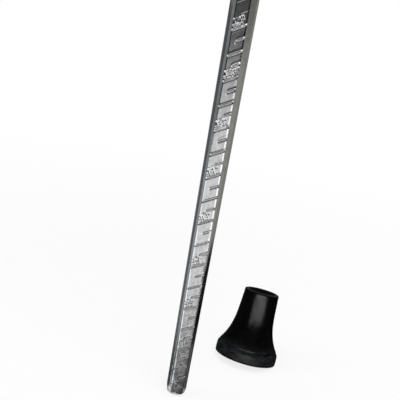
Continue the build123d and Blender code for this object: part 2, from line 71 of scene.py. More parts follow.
def make_camera():
    """The photo's view, fitted to the scale's lines and to the bar's and the tip's outlines."""
    data = bpy.data.cameras.new("camera")
    data.lens = CAMERA_LENS
    data.sensor_width = CAMERA_SENSOR
    data.clip_start = 0.01
    data.clip_end = 50.0
    camera = bpy.data.objects.new("camera", data)
    scene.collection.objects.link(camera)
    level = cos(CAMERA_PITCH)
    forward = Vector((-sin(CAMERA_TURN) * level, cos(CAMERA_TURN) * level, -sin(CAMERA_PITCH)))
    right = Vector((cos(CAMERA_TURN), sin(CAMERA_TURN), 0))
    up = right.cross(forward)
    across = right * cos(CAMERA_ROLL) + up * sin(CAMERA_ROLL)
    upward = up * cos(CAMERA_ROLL) - right * sin(CAMERA_ROLL)
    turn = Matrix((across, upward, -forward)).transposed().to_4x4()
    camera.matrix_world = Matrix.Translation(CAMERA_PLACE) @ turn
    scene.camera = camera


# -------- mesh and node helpers
def new_object(name, vertices, faces, material, smooth=True):
    """A mesh object from points in metres."""
    mesh = bpy.data.meshes.new(name)
    mesh.from_pydata([tuple(point) for point in vertices], [], faces)
    mesh.update()
    if smooth:
        mesh.shade_smooth()
    mesh.materials.append(material)
    thing = bpy.data.objects.new(name, mesh)
    scene.collection.objects.link(thing)
    return thing


def grid_faces(rows, columns):
    """Quads between neighbouring rings, outward where the rings run anticlockwise and upward."""
    faces = []
    for row in range(rows - 1):
        for column in range(columns):
            a = row * columns + column
            b = row * columns + (column + 1) % columns
            faces.append((a, b, b + columns, a + columns))
    return faces


def smooth_step(value):
    value = np.clip(value, 0, 1)
    return value * value * (3 - 2 * value)


def new_material(name):
    """A node material, its tree and its Principled shader."""
    material = bpy.data.materials.new(name)
    material.use_nodes = True
    tree = material.node_tree
    return material, tree, tree.nodes["Principled BSDF"]


def set_inputs(node, **values):
    """Sets a node's inputs by name, with _ for a space."""
    for name, value in values.items():
        node.inputs[name.replace("_", " ")].default_value = value


def feed(tree, socket, value):
    """Sets a socket to a number or colour, or links another node's output to it."""
    if isinstance(value, (int, float)):
        socket.default_value = value
    elif isinstance(value, tuple):
        socket.default_value = (*value, 1)
    else:
        tree.links.new(value, socket)


def lay_out(tree, pattern, stretch=(1, 1, 1)):
    """Puts a pattern in object space, with its scale in features per metre."""
    place = tree.nodes.new("ShaderNodeTexCoord")
    mapping = tree.nodes.new("ShaderNodeMapping")
    mapping.inputs["Scale"].default_value = stretch
    tree.links.new(place.outputs["Object"], mapping.inputs["Vector"])
    tree.links.new(mapping.outputs["Vector"], pattern.inputs["Vector"])


def noise(tree, scale, detail=3.0, roughness=0.5, stretch=(1, 1, 1), distortion=0.0):
    """A noise pattern's value."""
    pattern = tree.nodes.new("ShaderNodeTexNoise")
    set_inputs(pattern, Scale=scale, Detail=detail, Roughness=roughness, Distortion=distortion)
    lay_out(tree, pattern, stretch)
    return pattern.outputs["Fac"]


def cells(tree, scale):
    """A cell pattern: the distance to the nearest cell point."""
    pattern = tree.nodes.new("ShaderNodeTexVoronoi")
    pattern.feature = "F1"
    set_inputs(pattern, Scale=scale)
    lay_out(tree, pattern)
    return pattern.outputs["Distance"]


def smooth_share(tree, value, low, high):
    """0 at low and 1 at high, smooth between them, whichever is the larger."""
    spread = tree.nodes.new("ShaderNodeMapRange")
    spread.interpolation_type = "SMOOTHSTEP"
    set_inputs(spread, From_Min=low, From_Max=high)
    tree.links.new(value, spread.inputs["Value"])
    return spread.outputs["Result"]


def vector_math(tree, operation, value, constant=(0, 0, 0)):
    node = tree.nodes.new("ShaderNodeVectorMath")
    node.operation = operation
    node.inputs[1].default_value = constant
    tree.links.new(value, node.inputs[0])
    return node.outputs


def height_share(tree, low, high, origin=(0, 0, 0), axis=(0, 0, 1)):
    """0 at low and 1 at high, in metres along an axis from an origin."""
    place = tree.nodes.new("ShaderNodeTexCoord").outputs["Object"]
    offset = vector_math(tree, "SUBTRACT", place, origin)["Vector"]
    along = vector_math(tree, "DOT_PRODUCT", offset, axis)["Value"]
    return smooth_share(tree, along, low, high)


def distance_share(tree, near, far):
    """0 at near and 1 at far, in metres from the origin."""
    place = tree.nodes.new("ShaderNodeTexCoord").outputs["Object"]
    return smooth_share(tree, vector_math(tree, "LENGTH", place)["Value"], near, far)


def ramp(tree, value, *stops):
    """Colours along a value: stops are (place, grey or colour)."""
    node = tree.nodes.new("ShaderNodeValToRGB")
    elements = node.color_ramp.elements
    elements.remove(elements[-1])
    for index, (place, colour) in enumerate(stops):
        element = elements.new(place) if index else elements[0]
        element.position = place
        if isinstance(colour, (int, float)):
            colour = (colour, colour, colour)
        element.color = (*colour, 1)
    tree.links.new(value, node.inputs["Fac"])
    return node.outputs["Color"]


def blend_colours(tree, share, first, second, mode="MIX"):
    node = tree.nodes.new("ShaderNodeMix")
    node.data_type = "RGBA"
    node.blend_type = mode
    feed(tree, node.inputs["Factor"], share)
    feed(tree, node.inputs[6], first)  # a mix node's colour sockets
    feed(tree, node.inputs[7], second)
    return node.outputs[2]


def combine(tree, operation, *values):
    node = tree.nodes.new("ShaderNodeMath")
    node.operation = operation
    for socket, value in zip(node.inputs, values):
        feed(tree, socket, value)
    return node.outputs[0]


def mix_to_surface(tree, share, first, second, output):
    """Mixes two shaders and links the result to the tree's output node."""
    mix = tree.nodes.new("ShaderNodeMixShader")
    for socket, value in zip(mix.inputs, (share, first, second)):
        tree.links.new(value, socket)
    tree.links.new(mix.outputs["Shader"], tree.nodes[output].inputs["Surface"])


def set_finish(tree, shader, colour, roughness):
    tree.links.new(colour, shader.inputs["Base Color"])
    tree.links.new(roughness, shader.inputs["Roughness"])


def add_bump(tree, shader, *layers):
    """Bump layers on a shader: each is (height value, distance in metres, strength)."""
    normal = None
    for height, distance, strength in layers:
        node = tree.nodes.new("ShaderNodeBump")
        set_inputs(node, Distance=distance, Strength=strength)
        tree.links.new(height, node.inputs["Height"])
        if normal:
            tree.links.new(normal, node.inputs["Normal"])
        normal = node.outputs["Normal"]
    tree.links.new(normal, shader.inputs["Normal"])


# -------- stage and light
FLOOR_HALF = 5.0
FLOOR_WHITE = 0.8  # how much of the floor's look is plain white near the foot
FLOOR_NEAR = 0.15  # metres from the foot, where that starts to grow
FLOOR_FAR = 0.9  # where the floor is all white
WORLD_SOFT = 0.55  # the world's light on the crutch


def direction(azimuth):
    """A level direction, in degrees from the front towards +X."""
    return Vector((sin(radians(azimuth)), -cos(radians(azimuth)), 0))


def make_floor():
    """Paper that takes a faint shadow, and that the camera sees as nearly white."""
    material, tree, shader = new_material("floor_paper")
    set_inputs(shader, Roughness=0.9, Specular_IOR_Level=0.0)
    grain = noise(tree, 60, detail=2)
    tree.links.new(ramp(tree, grain, (0.3, 0.9), (0.7, 0.93)), shader.inputs["Base Color"])
    white = tree.nodes.new("ShaderNodeEmission")
    path = tree.nodes.new("ShaderNodeLightPath")
    far = distance_share(tree, FLOOR_NEAR, FLOOR_FAR)
    whiteness = combine(tree, "MULTIPLY_ADD", far, 1 - FLOOR_WHITE, FLOOR_WHITE)
    share = combine(tree, "MULTIPLY", path.outputs["Is Camera Ray"], whiteness)
    mix_to_surface(tree, share, shader.outputs["BSDF"], white.outputs["Emission"],
                   "Material Output")
    half = FLOOR_HALF
    corners = [(-half, -half, 0), (half, -half, 0), (half, half, 0), (-half, half, 0)]
    new_object("floor", corners, [(0, 1, 2, 3)], material, smooth=False)


# Each strip of the surround is what one part of the bar mirrors in the photo's view: its
# azimuths in degrees, its tint, and its brightness by the bar's height in mm, as
# ((from, to), tint, ((height, brightness), ...)).
COOL = (0.97, 1.0, 1.03)
PLAIN = (1.0, 1.0, 1.0)
OLIVE = (1.0, 0.985, 0.93)
MIRRORED = (
    # the bar's left side
    ((-168, -113), COOL, ((0, 0.09), (225, 0.1), (420, 0.25))),
    # the left bevel
    ((-106, -76), COOL, ((0, 0.09), (24, 0.1), (36, 0.24), (50, 0.42), (125, 0.42), (150, 0.27),
                         (225, 0.27), (420, 0.2))),
    # the edge right of it, in two parts
    ((-64, -44), COOL, ((0, 1.3), (30, 1.4), (45, 1.6), (135, 1.6), (148, 0.04), (225, 0.03),
                        (420, 0.1))),
    ((-39, -29), PLAIN, ((0, 1.4), (30, 1.5), (45, 1.7), (135, 1.7), (160, 0.9), (190, 0.42),
                         (225, 0.36), (420, 0.3))),
    # the scale face
    ((-22, 9), PLAIN, ((0, 0.18), (32, 0.32), (42, 0.62), (70, 0.92), (90, 1.02), (158, 1.0),
                       (174, 0.74), (188, 0.36), (198, 0.18), (210, 0.09), (420, 0.08))),
    # its right edge
    ((18, 54), PLAIN, ((0, 0.08), (40, 0.08), (48, 0.01), (84, 0.02), (94, 1.8), (176, 2.0),
                       (182, 0.01), (420, 0.02))),
    # the right bevel
    ((62, 102), OLIVE, ((0, 0.11), (38, 0.11), (44, 0.004), (86, 0.004), (96, 0.36),
                        (190, 0.38), (204, 0.27), (216, 0.2), (420, 0.3))),
    # the right side
    ((122, 178), OLIVE, ((0, 0.11), (38, 0.11), (44, 0.004), (86, 0.004), (96, 0.24),
                         (225, 0.26), (420, 0.4))),
)
MIRROR_FAR = 4900.0  # where the surround stands up
MIRROR_NEAR = 6.0  # its closest to the bar's axis
MIRROR_LIFT = 2.0  # where it lies above the floor
MIRROR_HEIGHTS = [*range(1, 230, 3), *range(230, 421, 10)]
MIRROR_STEP = 3  # degrees
EYE_HEIGHT = 198.8  # the camera's, rounded
EYE_DISTANCE = 315.0  # from the bar to it, rounded


def mirror_place(height):
    """Where the camera's ray lands once the bar reflects it: distance and height, in mm."""
    slope = (height - EYE_HEIGHT) / EYE_DISTANCE
    if slope < 0 and height / -slope < MIRROR_FAR:
        return max(height / -slope, MIRROR_NEAR), MIRROR_LIFT
    return MIRROR_FAR, max(height + slope * MIRROR_FAR, MIRROR_LIFT)


def strip_glow(strip, height):
    """A strip's tinted brightness where the bar mirrors it at a height."""
    _, tint, levels = strip
    heights, brightness = zip(*levels)
    return np.interp(height, heights, brightness) * np.array(tint)


def mirror_glow(azimuth, height):
    """The surround's brightness, smoothed from each strip to the next."""
    for strip in MIRRORED:
        low, high = strip[0]
        if low <= azimuth <= high:
            return strip_glow(strip, height)

    def past(strip):
        return (azimuth - strip[0][1]) % 360

    def ahead(strip):
        return (strip[0][0] - azimuth) % 360

    before = min(MIRRORED, key=past)
    after = min(MIRRORED, key=ahead)
    share = smooth_step(past(before) / (past(before) + ahead(after)))
    return strip_glow(before, height) * (1 - share) + strip_glow(after, height) * share


def make_surround():
    """A bowl round the crutch that only reflections see, with the darks and lights of a room."""
    material, tree, shader = new_material("surround")
    tree.nodes.remove(shader)
    glow = tree.nodes.new("ShaderNodeEmission")
    painted = tree.nodes.new("ShaderNodeAttribute")
    painted.attribute_name = "glow"
    tree.links.new(painted.outputs["Color"], glow.inputs["Color"])
    tree.links.new(glow.outputs["Emission"], tree.nodes["Material Output"].inputs["Surface"])
    azimuths = range(-180, 180, MIRROR_STEP)
    vertices = []
    glows = []
    for height in MIRROR_HEIGHTS:
        distance, lift = mirror_place(height)
        for azimuth in azimuths:
            vertices.append((direction(azimuth) * distance + Vector((0, 0, lift))) * MM)
            glows.append((*mirror_glow(azimuth, height), 1.0))
    faces = grid_faces(len(MIRROR_HEIGHTS), len(azimuths))
    surround = new_object("surround", vertices, faces, material)
    paint = surround.data.color_attributes.new("glow", "FLOAT_COLOR", "POINT")
    paint.data.foreach_set("color", np.array(glows).ravel())
    for rays in ("camera", "diffuse", "shadow", "transmission"):
        setattr(surround, "visible_" + rays, False)


def make_lamp(name, place, target, size, power):
    """A square area lamp, in metres and watts, that reflections don't see."""
    data = bpy.data.lights.new(name, "AREA")
    data.shape = "SQUARE"
    data.size = size
    data.energy = power
    lamp = bpy.data.objects.new(name, data)
    lamp.location = place
    lamp.rotation_euler = (Vector(place) - Vector(target)).to_track_quat("Z", "Y").to_euler()
    lamp.visible_glossy = False
    scene.collection.objects.link(lamp)
    return lamp


def make_world():
    """Soft light on the crutch, and plain white for the camera, reflections and glass."""
    world = bpy.data.worlds.new("studio")
    scene.world = world
    world.use_nodes = True
    tree = world.node_tree
    soft = tree.nodes["Background"]
    white = tree.nodes.new("ShaderNodeBackground")
    set_inputs(soft, Color=(1, 1, 1, 1), Strength=WORLD_SOFT)
    set_inputs(white, Color=(1, 1, 1, 1))
    path = tree.nodes.new("ShaderNodeLightPath").outputs
    seen = combine(tree, "MAXIMUM", path["Is Camera Ray"], path["Is Glossy Ray"])
    seen = combine(tree, "MAXIMUM", seen, path["Is Transmission Ray"])
    mix_to_surface(tree, seen, soft.outputs["Background"], white.outputs["Background"],
                   "World Output")


TIP_LAMP_AIM = 0.75  # share of the tip's height
TIP_LAMP_AZIMUTH = 3
TIP_LAMP_RISE = radians(6.0)
TIP_LAMP_DISTANCE = 0.9
TIP_LAMP_WIDTH = 1.3
TIP_LAMP_HEIGHT = 0.04
TIP_LAMP_POWER = 56


def make_tip_lamp():
    """A low, wide light in front that only the tip mirrors: the highlight on its neck."""
    middle = Vector((*TIP_PLACE, TIP_HEIGHT * TIP_LAMP_AIM)) * MM
    towards = direction(TIP_LAMP_AZIMUTH) + Vector((0, 0, tan(TIP_LAMP_RISE)))
    towards *= TIP_LAMP_DISTANCE
    lamp = make_lamp("lamp_low", middle + towards, middle, TIP_LAMP_WIDTH, TIP_LAMP_POWER)
    lamp.data.shape = "RECTANGLE"
    lamp.data.size_y = TIP_LAMP_HEIGHT
    lamp.visible_glossy = True
    lamp.visible_diffuse = False
    lit = bpy.data.collections.new("lit_low")
    lit.objects.link(bpy.data.objects["rubber_tip_moulded"])
    lamp.light_linking.receiver_collection = lit


def make_stage():
    make_floor()
    make_world()
    make_lamp("lamp_above", (0.6, -0.8, 2.6), (0, 0, 0.2), 1.4, 34)
    make_lamp("lamp_left", (-2.0, -0.6, 1.7), (0, 0, 0.5), 1.2, 12)
    make_surround()


# -------- leg bar
INCH = 25.4
QUARTER = INCH / 4
SCALE_SIDE = 0  # the octagon's faces are numbered anticlockwise from this one
LEFT_BEVEL_SIDE = 7
TAPER_HEIGHTS = (0.0, 65.0, 150.0, 224.0, 234.0)
TAPER_FLAT = (11.3, 12.05, 13.1, 13.85, 13.5)  # across flats, up to 0.4 more than the CAD's
TAPER_LEFT = (1.95, 2.5, 2.7, 2.8, 2.796)  # reach of a wide face from its middle
TAPER_RIGHT = (4.6, 4.9, 4.2, 3.9, 2.796)  # the scale face's reach towards +X
CORNER_IN = (0.12, 0.35, 1.0, 1.0, 1.0)  # how much of the +X corner's facet is left
CORNER_REACH = 0.75  # a ground corner stays this close to the +X side
EDGE_IN = 0.22  # a face's flat part starts this far from its corner
WORN_EDGE_IN = {0: 0.36, 1: 0.42, 7: 0.5}  # and this far from the worn corners
EDGE_IN_SHARE = 0.3  # at most this share of the face
# the left bevel is hollow and beaded: share of its width, and the metal's height there
LEFT_BEVEL_BEADS = {0.0: -0.3, 0.15: -0.14, 0.3: -0.03, 0.5: 0.02, 0.57: 0.11, 0.64: 0.02,
                    0.8: 0.0, 1.0: 0.0}
BEAD_FADES = 212.0  # the beads end below the guide bush's reach
BEAD_FADE_LENGTH = 18.0
FOOT_END_RADIUS = 5.2
FOOT_ROUND = 0.6
FOOT_WORN = 0.9  # the end face, above the floor
FOOT_KNOCK = 0.8  # how far the left corner is knocked in
FOOT_KNOCK_HEIGHT = 5.0
TOP_SHORT = 0.02  # the bar ends this far below the CAD's
SLANT_LENGTH = 9.0  # the rows turn from level to the lines' slant within this
SCALE_COLUMNS = 36
FINE_ROW = 0.17
PLAIN_ROW = 0.8
BARE_ROW = 6.0  # above the scale
FINE_BY_LINE = 0.95  # fine rows this close to a line

SCALE_ZERO = 5.2  # height of the lowest line
FIRST_INCH = 36
INCH_LINES = 14
SCALE_TOP = SCALE_ZERO + (INCH_LINES - 1) * INCH
LINE_SLANT = radians(28.0)
LINE_HALF = 0.37  # half width of a groove
LINE_DEPTH = 0.26
HALF_SPREAD = (0.85, 1.15)  # from line to line
DEPTH_SPREAD = (0.8, 1.1)
LINE_REACH = 1.6  # nothing of a line lies further from its middle
DEEP_LINES = 11  # the lowest lines, cut deeper
DEEP_SHARE = 1.3
TICK_FROM = (0.6, 1.3)  # a quarter inch's tick, right of the face's middle
TICK_TO = (3.6, 4.2)
TICK_WIDER = 1.15
TICK_DEEPER = 1.2
WALL_TOP = 1.35  # where a groove's wall meets the face, in its half widths
WALL_WIDTH = 0.95
LIP_PLACE = 1.95  # the raised metal beside it
LIP_WIDTH = 0.55
LIP_HEIGHT = 0.09
FAINT_FROM = 212.0  # marks above this are faint, clear of the guide bush
FAINT_SHARE = 0.1

NUMBER_START = -2.15  # from the face's middle
DIGIT_HEIGHT = 4.1
DIGIT_WIDTH = 2.35
DIGIT_GAP = 0.6
DIGIT_HALF = 0.26  # half width of a digit's stroke
DIGIT_DEPTH = (0.7, 0.95)  # in line depths
DIGIT_LIFT = 0.75  # from an inch line to the digits' foot
DIGIT_TURN = 4  # degrees, at most
DIGIT_SHIFT = 0.15  # up or down, at most
DIGITS_BELOW = 0.8  # how far their grooves reach below and above
DIGITS_ABOVE = 0.9
DIGIT_ROWS = 1.25  # fine rows, in digit heights
INCH_MARK_GAP = 0.85  # the two short strokes behind a number
INCH_MARK_FOOT = 0.72  # share of the digits' height
BURRS = 16  # raised specks on each number
BURR_ACROSS = (-2.3, 3.8)
BURR_UP = (-0.2, DIGIT_HEIGHT + 0.4)
BURR_SIZE = (0.22, 0.42)
BURR_HEIGHT = (0.03, 0.08)

DENTS = 150
DENTED_TOP = 66.0
DENT_CROWDING = 1.3  # above 1, denser towards the foot
DENT_ACROSS = (-2.4, 4.6)
DENT_SIZE = (0.2, 0.5)
DENT_STRETCH = (1.0, 2.6)
DENT_DEPTH = (-0.04, 0.06)
CUT_PAST_CORNERS = (0.3, 0.1)  # share of a cut that the left and the right facet take

# digits as strokes: their points across and up, in hundredths of the digit's box
DIGIT_STROKES = {
    "0": "0,25 15,5 50,0 85,5 100,25 100,75 85,95 50,100 15,95 0,75 0,25",
    "1": "20,80 55,100 55,0",
    "2": "0,80 20,100 75,100 100,80 95,55 0,0 100,0",
    "3": "0,85 25,100 70,100 100,85 100,65 75,52 40,52 ; 75,52 100,40 100,15 70,0 25,0 0,15",
    "4": "75,0 75,100 0,32 100,32",
    "5": "95,100 10,100 5,55 50,62 95,45 100,20 75,0 25,0 0,12",
    "6": "90,90 60,100 30,95 5,70 0,30 15,5 50,0 85,5 100,30 85,52 50,58 10,45",
    "7": "0,100 100,100 40,0",
    "8": "50,53 10,68 10,88 30,100 70,100 90,88 90,68 50,53 95,38 100,15 75,0 25,0 0,15 5,38 "
         "50,53",
    "9": "10,10 40,0 70,5 95,30 100,70 85,95 50,100 15,95 0,70 15,48 50,42 90,55",
}


def bar_corners(height):
    """The octagon's eight corners at each height, anticlockwise from the scale face's left."""
    half = np.interp(height, TAPER_HEIGHTS, TAPER_FLAT) / 2
    left = np.interp(height, TAPER_HEIGHTS, TAPER_LEFT)
    right = np.interp(height, TAPER_HEIGHTS, TAPER_RIGHT)
    inset = np.interp(height, TAPER_HEIGHTS, CORNER_IN)
    corner_x = right + (half - right) * inset
    corner_x = np.maximum(corner_x, half - CORNER_REACH * (1 - inset))
    corner_y = -half + (half - right) * inset
    points = [(-left, -half), (right, -half), (corner_x, corner_y), (half, left),
              (left, half), (-left, half), (-half, left), (-half, -left)]
    return [np.stack(np.broadcast_arrays(x, y), axis=-1) for x, y in points]


def bar_columns():
    """Each column of the ring: (face, share of its width, insets at its ends, bead height)."""
    columns = []
    for face in range(8):
        start_in = WORN_EDGE_IN.get(face, EDGE_IN)
        end_in = WORN_EDGE_IN.get((face + 1) % 8, EDGE_IN)
        if face == SCALE_SIDE:
            beads = {share: 0.0 for share in np.linspace(0, 1, SCALE_COLUMNS)}
        elif face == LEFT_BEVEL_SIDE:
            beads = LEFT_BEVEL_BEADS
        else:
            beads = {0.0: 0.0, 0.5: 0.0, 1.0: 0.0}
        columns += [(face, share, start_in, end_in, bead) for share, bead in beads.items()]
    return columns


def ring_point(column, height):
    """A column's points at the given heights, before the foot is rounded."""
    face, share, start_in, end_in, bead = column
    corners = bar_corners(height)
    start = corners[face]
    end = corners[(face + 1) % 8]
    along = end - start
    length = np.linalg.norm(along, axis=-1, keepdims=True)
    unit = along / length
    outward = np.stack([unit[..., 1], -unit[..., 0]], axis=-1)
    start_in = np.minimum(start_in, length * EDGE_IN_SHARE)
    end_in = np.minimum(end_in, length * EDGE_IN_SHARE)
    bead = bead * (1 - smooth_step((height - BEAD_FADES) / BEAD_FADE_LENGTH))[..., None]
    return start + unit * (start_in + (length - start_in - end_in) * share) + outward * bead


def groove(distance, half, depth):
    """Depth below the face at a distance from a groove's middle, with a raised lip each side."""
    cut = depth * smooth_step((half * WALL_TOP - distance) / (half * WALL_WIDTH))
    lip = LIP_HEIGHT * np.exp(-((distance - half * LIP_PLACE) / (half * LIP_WIDTH)) ** 2)
    return cut - lip * (distance > half)


def stroke_distance(u, v, strokes):
    """Distance from each point to the nearest of some polylines."""
    nearest = np.full(u.shape, np.inf)
    for stroke in strokes:
        for (u0, v0), (u1, v1) in zip(stroke, stroke[1:]):
            du = u1 - u0
            dv = v1 - v0
            share = np.clip(((u - u0) * du + (v - v0) * dv) / (du * du + dv * dv), 0, 1)
            nearest = np.minimum(nearest, np.hypot(u - u0 - share * du, v - v0 - share * dv))
    return nearest


def number_strokes(text):
    """A number's strokes in millimetres, and the two short strokes of an inch mark."""
    strokes = []
    across = NUMBER_START
    for character in text:
        turn = radians(rng.uniform(-DIGIT_TURN, DIGIT_TURN))
        lift = rng.uniform(-DIGIT_SHIFT, DIGIT_SHIFT)
        for stroke in DIGIT_STROKES[character].split(";"):
            line = []
            for point in stroke.split():
                u, v = (int(value) / 100 - 0.5 for value in point.split(","))
                x = u * DIGIT_WIDTH
                y = v * DIGIT_HEIGHT
                turned = (x * cos(turn) - y * sin(turn), x * sin(turn) + y * cos(turn))
                line.append((across + DIGIT_WIDTH / 2 + turned[0],
                             DIGIT_HEIGHT / 2 + turned[1] + lift))
            strokes.append(line)
        across += DIGIT_WIDTH + DIGIT_GAP
    for mark in (across, across + INCH_MARK_GAP):
        strokes.append([(mark, DIGIT_HEIGHT), (mark, DIGIT_HEIGHT * INCH_MARK_FOOT)])
    return strokes


def faint_share(height):
    """What is left of a mark's depth, so that the bar slides through the guide bush."""
    return FAINT_SHARE if height > FAINT_FROM else 1.0


def line_depth(x, height):
    """How deep the half-inch lines and the quarter-inch ticks are at points of the scale face."""
    depth = np.zeros(x.shape)
    along = (height - x * tan(LINE_SLANT)) * cos(LINE_SLANT)
    for index in range(4 * (INCH_LINES - 1) + 1):
        foot = SCALE_ZERO + index * QUARTER
        distance = np.abs(along - foot * cos(LINE_SLANT))
        near = distance < LINE_REACH
        if not near.any():
            continue
        half = LINE_HALF * rng.uniform(*HALF_SPREAD)
        deep = LINE_DEPTH * rng.uniform(*DEPTH_SPREAD)
        deep *= DEEP_SHARE if index < DEEP_LINES else 1.0
        distance = distance[near]
        if index % 2:
            start = rng.uniform(*TICK_FROM)
            stop = rng.uniform(*TICK_TO)
            half *= TICK_WIDER
            deep *= TICK_DEEPER
            outside = np.maximum(start - x[near], np.maximum(x[near] - stop, 0))
            distance = np.hypot(distance, outside * cos(LINE_SLANT))
        depth[near] += groove(distance, half, deep) * faint_share(foot)
    return depth


def number_depth(x, height):
    """How deep the stamped numbers are there, with their burrs."""
    depth = np.zeros(x.shape)
    for inch in range(INCH_LINES - 1):
        foot = SCALE_ZERO + inch * INCH
        u = x * cos(LINE_SLANT) + (height - foot) * sin(LINE_SLANT)
        v = (height - foot) * cos(LINE_SLANT) - x * sin(LINE_SLANT) - DIGIT_LIFT
        near = (v > -DIGITS_BELOW) & (v < DIGIT_HEIGHT + DIGITS_ABOVE)
        if not near.any():
            continue
        distance = stroke_distance(u[near], v[near], number_strokes(str(FIRST_INCH + inch)))
        deep = LINE_DEPTH * rng.uniform(*DIGIT_DEPTH)
        depth[near] += groove(distance, DIGIT_HALF, deep) * faint_share(foot)
        for _ in range(BURRS):
            burr = (rng.uniform(*BURR_ACROSS), rng.uniform(*BURR_UP))
            size = rng.uniform(*BURR_SIZE)
            far = np.hypot(u[near] - burr[0], v[near] - burr[1]) / size
            depth[near] -= rng.uniform(*BURR_HEIGHT) * np.exp(-far ** 2) * faint_share(foot)
    return depth


def dents(x, height):
    """Small knocks in the lower part of the scale face, denser towards the foot."""
    depth = np.zeros(x.shape)
    for _ in range(DENTS):
        place = (rng.uniform(*DENT_ACROSS), DENTED_TOP * rng.random() ** DENT_CROWDING + 1)
        size = rng.uniform(*DENT_SIZE)
        longer = rng.uniform(*DENT_STRETCH)
        turn = rng.uniform(0, pi)
        du = (x - place[0]) * cos(turn) + (height - place[1]) * sin(turn)
        dv = (height - place[1]) * cos(turn) - (x - place[0]) * sin(turn)
        shape = np.exp(-(du / size / longer) ** 2 - (dv / size) ** 2)
        depth += rng.uniform(*DENT_DEPTH) * shape
    return depth


def bar_rows(top):
    """Where the ring is repeated: close at the foot and the scale's marks, wide elsewhere."""
    rows = [FOOT_WORN]
    while rows[-1] < top:
        here = rows[-1]
        line = (here - SCALE_ZERO) / QUARTER
        by_line = abs(line - round(line)) * QUARTER < FINE_BY_LINE
        past_inch = (here - SCALE_ZERO) % INCH
        digits_end = (DIGIT_LIFT + DIGIT_HEIGHT * DIGIT_ROWS) / cos(LINE_SLANT)
        in_digits = here < SCALE_TOP and past_inch < digits_end
        on_scale = here < SCALE_TOP + 2
        fine = here < DENTED_TOP or (on_scale and (by_line or in_digits))
        rows.append(here + (FINE_ROW if fine else PLAIN_ROW if on_scale else BARE_ROW))
    rows[-1] = top
    return np.array(rows)


def bar_lattice(columns, rows, top):
    """The bar's points, row by row; the rows slant with the lines except near the ends."""
    slanted = smooth_step((rows - FOOT_WORN) / SLANT_LENGTH)
    slanted = slanted * smooth_step((top - rows) / SLANT_LENGTH)
    points = np.zeros((len(rows), len(columns), 3))
    for number, column in enumerate(columns):
        height = rows.copy()
        for _ in range(2):
            place = ring_point(column, height)
            height = rows + slanted * tan(LINE_SLANT) * place[:, 0]
        points[:, number, :2] = place
        points[:, number, 2] = height
    return points


def wear_foot(points):
    """Rounds the foot's end and knocks its left corner in."""
    reach = np.hypot(points[..., 0], points[..., 1])
    above = np.maximum(points[..., 2] - FOOT_WORN, 0)
    limit = FOOT_END_RADIUS + np.sqrt(above * (above + 2 * FOOT_ROUND))
    points[..., :2] *= np.minimum(1, limit / reach)[..., None]
    knocked = FOOT_KNOCK * np.maximum(1 - above / FOOT_KNOCK_HEIGHT, 0) ** 2
    left_side = -np.interp(points[..., 2], TAPER_HEIGHTS, TAPER_FLAT) / 2
    points[..., 0] = np.maximum(points[..., 0], left_side + knocked)


def cut_marks(points, columns):
    """Cuts the scale and the dents; the next facets take a little of the cut at the corners."""
    front = [number for number, column in enumerate(columns) if column[0] == SCALE_SIDE]
    x = points[:, front, 0]
    z = points[:, front, 2]
    cut = line_depth(x, z) + number_depth(x, z) + dents(x, z)
    cut *= smooth_step(z - FOOT_WORN)
    points[:, front, 1] += cut
    points[:, front[-1] + 1, 1] += cut[:, -1] * CUT_PAST_CORNERS[1]
    points[:, -1, 1] += cut[:, 0] * CUT_PAST_CORNERS[0]


def make_leg_bar(material):
    top = node_box("leg_bar")[1].z - TOP_SHORT
    rows = bar_rows(top)
    columns = bar_columns()
    points = bar_lattice(columns, rows, top)
    wear_foot(points)
    cut_marks(points, columns)
    count = len(columns)
    last = (len(rows) - 1) * count
    faces = grid_faces(len(rows), count)
    faces += [tuple(reversed(range(count))), tuple(range(last, last + count))]
    vertices = (points.reshape(-1, 3) * MM).tolist()
    bar = new_object("leg_bar_marked", vertices, faces, material)
    sharpen_columns(bar, columns)
    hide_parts("leg_bar")
    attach(bar, "leg")


def sharpen_columns(bar, columns):
    """Marks the edges that run along the octagon's corners as sharp."""
    count = len(columns)
    ends = [number for number, column in enumerate(columns) if column[1] in (0.0, 1.0)]
    mesh = bar.data
    pairs = np.empty(len(mesh.edges) * 2, dtype=np.int32)
    mesh.edges.foreach_get("vertices", pairs)
    first, second = (pairs.reshape(-1, 2) % count).T
    sharp = mesh.attributes.new("sharp_edge", "BOOLEAN", "EDGE")
    sharp.data.foreach_set("value", (first == second) & np.isin(first, ends))


# heights on the bar in metres, for its material
FOOT_DARKENING = (0.012, 0.062)  # darker in blotches: full below and gone above
BATTERED = (0.075, 0.03)  # none above, full below
POLISHED = (0.165, 0.19)  # smoother above, as in the photo


